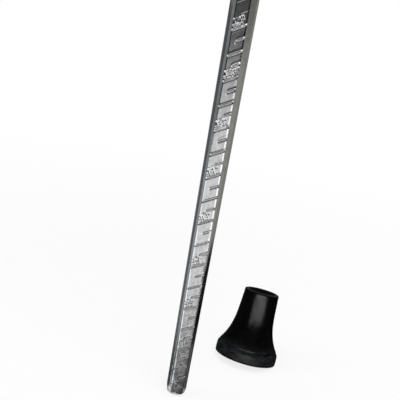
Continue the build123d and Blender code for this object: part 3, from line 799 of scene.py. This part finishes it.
def bar_metal():
    """Bright worn steel: brushed along its length, scuffed, and darker in blotches towards the
    foot.
    """
    material, tree, shader = new_material("bar_metal")
    set_inputs(shader, Metallic=1.0)
    mottle = noise(tree, 700, detail=5, stretch=(1, 1, 0.6))
    base = ramp(tree, mottle, (0.3, (0.50, 0.505, 0.51)), (0.55, 0.60),
                (0.75, (0.68, 0.68, 0.675)))
    blotch = noise(tree, 190, detail=4, roughness=0.65, distortion=0.6)
    # the metal's colour darkens in blotches towards the foot
    foot_darkening = ramp(tree, blotch, (0.38, 0.45), (0.6, 1.0))
    above = height_share(tree, *FOOT_DARKENING)
    colour = blend_colours(tree, above, blend_colours(tree, 1.0, base, foot_darkening, "MULTIPLY"), base)
    scuff = noise(tree, 300, detail=6, stretch=(1, 1, 0.25), roughness=0.7)
    rough = ramp(tree, scuff, (0.3, 0.12), (0.7, 0.26))
    rough = blend_colours(tree, above, (0.15, 0.15, 0.15), rough)
    polished = ramp(tree, scuff, (0.3, 0.07), (0.7, 0.13))
    rough = blend_colours(tree, height_share(tree, *POLISHED), rough, polished)
    set_finish(tree, shader, colour, rough)
    brushed = noise(tree, 2600, detail=2, stretch=(1, 1, 0.03))
    pits = noise(tree, 1500, detail=4, roughness=0.7)
    battered = noise(tree, 1000, detail=5, stretch=(1, 1, 0.7), roughness=0.75)
    battered = combine(tree, "MULTIPLY", battered, height_share(tree, *BATTERED))
    add_bump(tree, shader, (battered, 0.0004, 0.5), (brushed, 0.00002, 0.35), (pits, 0.00003, 0.5))
    return material


# -------- rubber tip
TIP_PLACE = (32.8, 62.0)
TIP_HEIGHT = 46.0  # 0.8 more than the CAD's
TIP_SOLE_RADIUS = 20.7
TIP_LIP_RADIUS = 11.7
TIP_NECK_RADIUS = 13.1
TIP_NECK_LENGTH = 20.5
TIP_BAND = 7.6  # height of the sole's side
TIP_LEAN_SIDE = radians(2.6)
TIP_LEAN_BACK = radians(13.5)
TIP_BORE_RADIUS = 6.5
TIP_MOUTH_RADIUS = 9.2
TIP_LEAD_IN = 5.0
TIP_BORE_DEPTH = 30.0
TREAD_RINGS = 3
TREAD_GROOVE = 1.6
TREAD_DRAFT = 0.2
TIP_COLUMNS = 160
TIP_WAVES = 6  # slow swellings round the rubber
TIP_WAVE_HEIGHT = 0.05
# corners of the outline, as (outward from a radius, up from a height)
BORE_FLOOR = ((-0.4, 0.0), (0.0, 0.4))  # bore, its floor
MOUTH_ROUND = ((0.3, -0.15), (0.75, 0.0))  # mouth, tip's top
LIP_ROUND = ((-0.75, -0.05), (-0.3, -0.25), (-0.05, -0.7), (0.05, -1.5), (-0.02, -2.6))
BAND_GROOVE = ((-1.5, 0.5), (-1.5, 0.15), (-1.0, -0.2), (-0.45, -0.6), (-0.12, -1.2), (0.0, -2.0))
SOLE_ROUND = ((0.0, 0.5), (-0.15, 0.15), (-0.6, 0.0))  # sole, floor
FLARE_END = (-1.2, 0.9)  # from the sole's radius and the band's top
SOLE_CORNER = 0.9  # height of the sole's rounded corner
BAND_ROUND = 2.9  # of its height, taken by the rounded corners
BAND_BULGE = 0.05


def hermite(start, end, start_slope, end_slope, count):
    """Points on a cubic between two (radius, height) points, without the first."""
    points = []
    for step in range(1, count + 1):
        t = step / count
        a = 2 * t ** 3 - 3 * t ** 2 + 1
        b = t ** 3 - 2 * t ** 2 + t
        c = -2 * t ** 3 + 3 * t ** 2
        d = t ** 3 - t ** 2
        points.append(tuple(a * start[i] + b * start_slope[i] + c * end[i] + d * end_slope[i]
                            for i in (0, 1)))
    return points


def offset(radius, height, corners):
    return [(radius + out, height + up) for out, up in corners]


def tip_profile():
    """The tip's outline as (radius, height), from the bore's floor over the lip to the sole."""
    bore = TIP_BORE_RADIUS
    sole = TIP_SOLE_RADIUS
    floor = TIP_HEIGHT - TIP_BORE_DEPTH
    lead = TIP_HEIGHT - TIP_LEAD_IN
    neck_end = (TIP_NECK_RADIUS, TIP_HEIGHT - TIP_NECK_LENGTH)
    points = [(0.0, floor), *offset(bore, floor, BORE_FLOOR)]
    points += [(bore, floor + (lead - floor) * share) for share in (0.3, 0.6, 0.9)]
    points += [(bore, lead)]
    points += hermite(points[-1], (TIP_MOUTH_RADIUS, TIP_HEIGHT - 0.6), (0.6, 3), (3.0, 3), 6)
    points += offset(TIP_MOUTH_RADIUS, TIP_HEIGHT, MOUTH_ROUND)
    points += offset(TIP_LIP_RADIUS, TIP_HEIGHT, LIP_ROUND)
    points += hermite(points[-1], neck_end, (1.2, -17), (2.4, -17), 14)
    flare_foot = (sole + FLARE_END[0], TIP_BAND + FLARE_END[1])
    points += hermite(neck_end, flare_foot, (2.4, -17), (10.2, -14), 16)
    points += offset(sole, TIP_BAND, BAND_GROOVE)
    band_from, band_up = SOLE_CORNER, TIP_BAND - BAND_ROUND
    points += [(sole + BAND_BULGE, band_from + band_up * share) for share in (0.7, 0.45, 0.2)]
    points += offset(sole, 0.0, SOLE_ROUND)
    pitch = sole / (TREAD_RINGS + 1)
    for ring in range(TREAD_RINGS, 0, -1):
        inner = pitch * ring - TREAD_GROOVE / 2
        outer = inner + TREAD_GROOVE
        points += [(outer, 0.0), (outer - TREAD_DRAFT, TREAD_GROOVE)]
        points += [(inner + TREAD_DRAFT, TREAD_GROOVE), (inner, 0.0)]
    points.append((0.0, 0.0))
    return points


def lathe(profile, columns, place):
    """Vertices and faces of a turned shape; place(radius, angle, height) sets each point."""
    vertices = []
    for radius, height in profile:
        for column in range(columns):
            vertices.append(place(radius, 2 * pi * column / columns, height))
    faces = [(a, d, c, b) for a, b, c, d in grid_faces(len(profile), columns)]
    return vertices, faces


def tidy_mesh(thing):
    """Joins doubled points and turns the faces outward."""
    bm = bmesh.new()
    bm.from_mesh(thing.data)
    bmesh.ops.remove_doubles(bm, verts=bm.verts, dist=1e-6)
    bmesh.ops.recalc_face_normals(bm, faces=bm.faces)
    bm.to_mesh(thing.data)
    bm.free()


def tip_stand():
    """From the tip's own frame to where it stands."""
    stand = Matrix.Translation((TIP_PLACE[0] * MM, TIP_PLACE[1] * MM, 0))
    return stand @ Matrix.Rotation(-TIP_LEAN_BACK, 4, "X") @ Matrix.Rotation(TIP_LEAN_SIDE, 4, "Y")


def make_rubber_tip(material):
    """The tip, leaning back, with its heel flat on the floor."""
    waves = [(rng.uniform(0, 2 * pi), rng.uniform(0.6, 1.0)) for _ in range(TIP_WAVES)]
    stand = tip_stand()

    def place(radius, angle, height):
        uneven = 0.0
        if radius > TIP_LIP_RADIUS - 0.1:
            for number, (phase, size) in enumerate(waves):
                uneven += size * sin((number + 2) * angle + phase + height * 0.12)
            uneven *= TIP_WAVE_HEIGHT
        radius += uneven
        point = stand @ (Vector((radius * cos(angle), radius * sin(angle), height)) * MM)
        point.z = max(point.z, 0.0)
        return point

    vertices, faces = lathe(tip_profile(), TIP_COLUMNS, place)
    tip = new_object("rubber_tip_moulded", vertices, faces, material)
    tidy_mesh(tip)
    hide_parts("rubber_tip")
    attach(tip, "tip")


def tip_rubber():
    """Black rubber: rubbed grey round the sole, lightened by a painted reflection of the floor;
    dusted above it with a painted highlight; a painted highlight on the rubbed lip.
    """
    material, tree, shader = new_material("tip_rubber")
    set_inputs(shader, Specular_IOR_Level=0.025)
    stand = tip_stand()

    def up_tip(low, high):
        axis = stand.to_3x3() @ Vector((0, 0, 1))
        return height_share(tree, low * MM, high * MM, stand.translation, axis)

    band = up_tip(TIP_BAND + 0.1, TIP_BAND - 0.2)
    # where the flare above the sole is dusted and carries a painted highlight
    dust_highlight_share = up_tip(TIP_BAND + 5.5, TIP_BAND - 1.0)
    lip = up_tip(TIP_HEIGHT - 0.55, TIP_HEIGHT - 0.1)
    cloud = noise(tree, 260, detail=5, roughness=0.6)
    scrub = noise(tree, 300, detail=6, stretch=(0.55, 0.55, 1.5), roughness=0.75)
    black = ramp(tree, cloud, (0.35, 0.0008), (0.7, 0.0024))
    # grey round the sole: rubbed wear, lightened by a painted reflection of the floor
    grey = ramp(tree, scrub, (0.40, 0.002), (0.46, (0.009, 0.010, 0.011)),
                (0.7, (0.019, 0.020, 0.022)))
    # dusted rubber with a painted highlight where the flare turns upward
    dust_and_highlight = ramp(tree, scrub, (0.42, 0.002), (0.7, (0.022, 0.024, 0.027)))
    colour = blend_colours(tree, dust_highlight_share, black, dust_and_highlight)
    colour = blend_colours(tree, band, colour, grey)
    # a paler lip: rubbing, and a painted highlight along its rim
    colour = blend_colours(tree, lip, colour, (0.012, 0.013, 0.014))
    rough = noise(tree, 900, detail=4)
    rough = blend_colours(tree, band, ramp(tree, rough, (0.3, 0.15), (0.7, 0.25)),
                          ramp(tree, rough, (0.3, 0.4), (0.7, 0.55)))
    set_finish(tree, shader, colour, rough)
    grain = noise(tree, 2200, detail=3, roughness=0.6)
    scuffs = noise(tree, 420, detail=5, roughness=0.7)
    add_bump(tree, shader, (scuffs, 0.0003, 0.55), (grain, 0.00008, 0.7))
    return material


# -------- handgrip
GRIP_RIBS = 22
GRIP_RIB_DEPTH = 0.55
GRIP_RIB_STEPS = 6  # points along each rib
GRIP_COLUMNS = 72
GRIP_SWELL = 2.5  # the middle is this much thicker than the ends
GRIP_PLAIN = 5.0  # without ribs at each end
GRIP_CLEARANCE = 0.05  # round the core tube
GRIP_END_ROUND = ((2.6, 0.0), (0.9, 0.5), (0.1, 2.2))  # (inward, along) from each end's rim


def make_grip_sleeve(material):
    """The ribbed sleeve, thickest in its middle, with rounded ends."""
    low, high = node_box("grip_sleeve")
    middle = (low + high) / 2
    half = (high.x - low.x) / 2
    radius = (high.z - low.z) / 2
    bore = (node_box("grip_core")[1].z - middle.z) + GRIP_CLEARANCE
    ends = radius - GRIP_SWELL
    profile = [(bore, -half)]
    profile += [(ends - inward, -half + along) for inward, along in GRIP_END_ROUND]
    stretch = half - GRIP_PLAIN
    steps = GRIP_RIBS * GRIP_RIB_STEPS
    for step in range(steps + 1):
        along = -stretch + 2 * stretch * step / steps
        swell = ends + (radius - ends) * (1 - (along / half) ** 2)
        wave = abs(cos(pi * step / GRIP_RIB_STEPS)) ** 0.7
        profile.append((swell - GRIP_RIB_DEPTH * (1 - wave), along))
    profile += [(ends - inward, half - along) for inward, along in reversed(GRIP_END_ROUND)]
    profile += [(bore, half), (bore, -half)]

    def place(radius, angle, along):
        x = middle.x + along
        y = radius * cos(angle)
        z = middle.z + radius * sin(angle)
        return x * MM, y * MM, z * MM

    vertices, faces = lathe(profile, GRIP_COLUMNS, place)
    sleeve = new_object("grip_sleeve_ribbed", vertices, faces, material)
    tidy_mesh(sleeve)
    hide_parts("grip_sleeve")
    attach(sleeve, "frame")


# -------- underarm pad
PAD_CENTRE_HEIGHT = 1544.6  # of the pad's curve, above the floor
PAD_SEAM_RADIUS = 312.5  # of the parting line round its sides
PAD_SEAM_HALF = 1.6
PAD_SEAM_DEPTH = 1.2
BELL_BASE = 2.718  # of the seam's bell curve
PAD_SIDE_FACING = 0.6  # the line is pressed in where the skin faces sideways
PAD_SEAT_RADIUS = 324.2  # of the underside, which lies on the rest
PAD_SEAT_FACING = 0.5  # skin that faces outward by more than this is seated
PAD_SEAT_BLEND = 0.35
PAD_INSET = 0.9  # how much smaller the pad is before it is blown up
PAD_SWELL = 3.0  # the furthest that a point moves as it is
PAD_FRAMES = 20
PAD_VOXEL = 5.0
PAD_PRESSURE = 4
PAD_STIFFNESS = 12


def apply_modifiers(thing):
    graph = bpy.context.evaluated_depsgraph_get()
    mesh = bpy.data.meshes.new_from_object(thing.evaluated_get(graph))
    thing.modifiers.clear()
    thing.data = mesh


def smooth_out(thing, iterations):
    smooth = thing.modifiers.new("smooth", "SMOOTH")
    smooth.iterations = iterations


def shift_along_normals(thing, distance):
    for vertex, normal in [(v, v.normal.copy()) for v in thing.data.vertices]:
        vertex.co += normal * distance * MM


def inflate(thing):
    """Blows a closed soft piece up as cloth, with each point's way limited."""
    start = [vertex.co.copy() for vertex in thing.data.vertices]
    cloth = thing.modifiers.new("cloth", "CLOTH")
    settings = cloth.settings
    settings.use_pressure = True
    settings.uniform_pressure_force = PAD_PRESSURE
    settings.tension_stiffness = PAD_STIFFNESS
    settings.compression_stiffness = PAD_STIFFNESS
    settings.effector_weights.gravity = 0
    cloth.point_cache.frame_end = PAD_FRAMES
    for step in range(1, PAD_FRAMES + 1):
        scene.frame_set(step)
    apply_modifiers(thing)
    scene.frame_set(1)
    for vertex, before in zip(thing.data.vertices, start):
        way = vertex.co - before
        if way.length > PAD_SWELL * MM:
            vertex.co = before + way.normalized() * PAD_SWELL * MM


def press_seam(pad):
    """The mould's parting line, pressed in round the pad's sides."""
    for vertex in pad.data.vertices:
        away = Vector((vertex.co.x, 0, vertex.co.z - PAD_CENTRE_HEIGHT * MM))
        if abs(vertex.normal.dot(away.normalized())) > PAD_SIDE_FACING:
            continue
        off_line = (away.length / MM - PAD_SEAM_RADIUS) / PAD_SEAM_HALF
        vertex.co -= vertex.normal * PAD_SEAM_DEPTH * MM * BELL_BASE ** (-off_line * off_line)


def seat(pad):
    """Presses the underside back onto the rest."""
    centre = Vector((0, 0, PAD_CENTRE_HEIGHT * MM))
    moves = []
    for vertex in pad.data.vertices:
        away = Vector((vertex.co.x, 0, vertex.co.z)) - centre
        outward = away.normalized()
        share = float(smooth_step((vertex.normal.dot(outward) - PAD_SEAT_FACING) / PAD_SEAT_BLEND))
        moves.append(outward * (PAD_SEAT_RADIUS * MM - away.length) * share)
    for vertex, move in zip(pad.data.vertices, moves):
        vertex.co += move


def make_underarm_pad(material):
    """A closed cushion from the CAD's solid: rounded, blown up, and seated on the rest."""
    source = nodes["underarm_pad"]
    pad = bpy.data.objects.new("underarm_pad_cushion", source.data.copy())
    pad.matrix_world = source.matrix_world.copy()
    scene.collection.objects.link(pad)
    pad.data.materials.clear()
    pad.data.materials.append(material)
    remesh = pad.modifiers.new("remesh", "REMESH")
    remesh.mode = "VOXEL"
    remesh.voxel_size = PAD_VOXEL * MM
    smooth_out(pad, 4)
    apply_modifiers(pad)
    shift_along_normals(pad, -PAD_INSET)
    inflate(pad)
    smooth_out(pad, 3)
    subdivide = pad.modifiers.new("subdivide", "SUBSURF")
    subdivide.levels = 2
    apply_modifiers(pad)
    press_seam(pad)
    seat(pad)
    pad.data.shade_smooth()
    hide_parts("underarm_pad")
    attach(pad, "frame")


# -------- the CAD pieces' finishes
# cast and moulded pieces whose edges are rounded
SOFTENED = {"lower_yoke": 0.9, "upper_yoke": 0.9, "clamp_collar": 0.8, "underarm_rest": 0.6,
            "guide_bush": 0.4, "socket_cap": 0.5, "grip_saddles": 0.5, "upright_plugs": 0.4}
SOFTEN_FROM = radians(40)  # edges sharper than this
SOFTEN_SEGMENTS = 3


def clouded(name, metallic, clouds, colours, smears, roughness, *bumps):
    """A finish from two noises' settings, one ramped through the colours and one between two
    roughnesses; each bump is (noise or cells, distance, strength, *its settings)."""
    material, tree, shader = new_material(name)
    set_inputs(shader, Metallic=metallic)
    set_finish(tree, shader,
               ramp(tree, noise(tree, *clouds), *colours),
               ramp(tree, noise(tree, *smears), (0.3, roughness[0]), (0.7, roughness[1])))
    add_bump(tree, shader, *[(pattern(tree, *settings), distance, strength)
                             for pattern, distance, strength, *settings in bumps])
    return material


def grained_rubber(name, patches, dark, light, smears, roughness, grain, depth):
    """Dark grey rubber with a fine leathery grain."""
    return clouded(name, 0.0, (patches, 5), ((0.3, dark), (0.7, light)), (smears, 3), roughness,
                   (cells, depth, 0.5, grain))


def moulded_plastic(name, dark, light, smoothest, grain):
    """Black plastic with a spark-eroded grain and paler rubbed places."""
    return clouded(name, 0.0, (150, 6, 0.65), ((0.35, dark), (0.72, light)),
                   (420, 4), (smoothest, smoothest + 0.16),
                   (cells, 0.00006, grain, 2600), (noise, 0.00004, 0.4, 1300, 4))


def satin_tube():
    """Anodised aluminium tube, drawn along its length and lightly handled."""
    material, tree, shader = new_material("satin_tube_finish")
    set_inputs(shader, Metallic=1.0)
    cloud = noise(tree, 22, detail=5, roughness=0.6)
    scratch = noise(tree, 380, detail=4, stretch=(1, 1, 0.02), roughness=0.6)
    smear = noise(tree, 60, detail=5, roughness=0.65)
    base = ramp(tree, cloud, (0.3, (0.56, 0.57, 0.58)), (0.7, (0.66, 0.665, 0.67)))
    marks = ramp(tree, scratch, (0.33, 0.72), (0.42, 1.0))
    set_finish(tree, shader, blend_colours(tree, 1.0, base, marks, "MULTIPLY"),
               ramp(tree, smear, (0.3, 0.3), (0.7, 0.46)))
    drawn = noise(tree, 2600, detail=2, stretch=(1, 1, 0.015))
    add_bump(tree, shader, (drawn, 0.00003, 0.35))
    return material


def dress_cad_nodes():
    """Gives each CAD piece its finish, and rounds the edges of the cast and moulded ones."""
    finishes = {
        "satin_tube": satin_tube(),
        # cast aluminium with a peened skin
        "cast_metal": clouded(
            "cast_metal_finish", 1.0,
            (110, 6, 0.65), ((0.3, (0.37, 0.375, 0.38)), (0.7, (0.50, 0.505, 0.51))),
            (300, 4), (0.42, 0.6),
            (cells, 0.00012, 0.55, 900), (noise, 0.00004, 0.5, 2400, 3)),
        # bright zinc plate with its faint bluish and yellowish clouds
        "zinc_steel": clouded(
            "zinc_steel_finish", 1.0, (260, 4, 0.6),
            ((0.3, (0.52, 0.55, 0.60)), (0.5, (0.60, 0.61, 0.61)), (0.7, (0.64, 0.62, 0.56))),
            (900, 4), (0.22, 0.38), (noise, 0.00004, 0.5, 1800, 4, 0.7)),
        # oiled black oxide on the set screws
        "black_steel": clouded(
            "black_steel_finish", 0.85,
            (500, 4), ((0.3, (0.03, 0.03, 0.033)), (0.7, (0.075, 0.07, 0.066))),
            (1100, 3), (0.3, 0.48), (noise, 0.00004, 0.5, 2200, 3)),
        "black_plastic": moulded_plastic("black_plastic_finish", 0.014, 0.026, 0.4, 0.5),
        "knob_plastic": moulded_plastic("knob_plastic_finish", 0.011, 0.02, 0.3, 0.7),
    }
    for name, node in nodes.items():
        for slot in node.material_slots:
            if slot.material and slot.material.name in finishes:
                slot.material = finishes[slot.material.name]
        if name in SOFTENED:
            soften = node.modifiers.new("soften", "BEVEL")
            soften.width = SOFTENED[name] * MM
            soften.segments = SOFTEN_SEGMENTS
            soften.limit_method = "ANGLE"
            soften.angle_limit = SOFTEN_FROM
            soften.harden_normals = True


# -------- start
make_camera()
make_stage()
make_leg_bar(bar_metal())
make_rubber_tip(tip_rubber())
make_tip_lamp()
make_grip_sleeve(grained_rubber(
    "grip_rubber", 120, (0.035, 0.035, 0.037), (0.06, 0.06, 0.062), 500, (0.5, 0.68), 1800,
    0.00008))
make_underarm_pad(grained_rubber(
    "pad_rubber", 90, (0.04, 0.04, 0.042), (0.065, 0.065, 0.068), 400, (0.55, 0.72), 1400,
    0.0001))
dress_cad_nodes()

scene.view_settings.view_transform = "Standard"
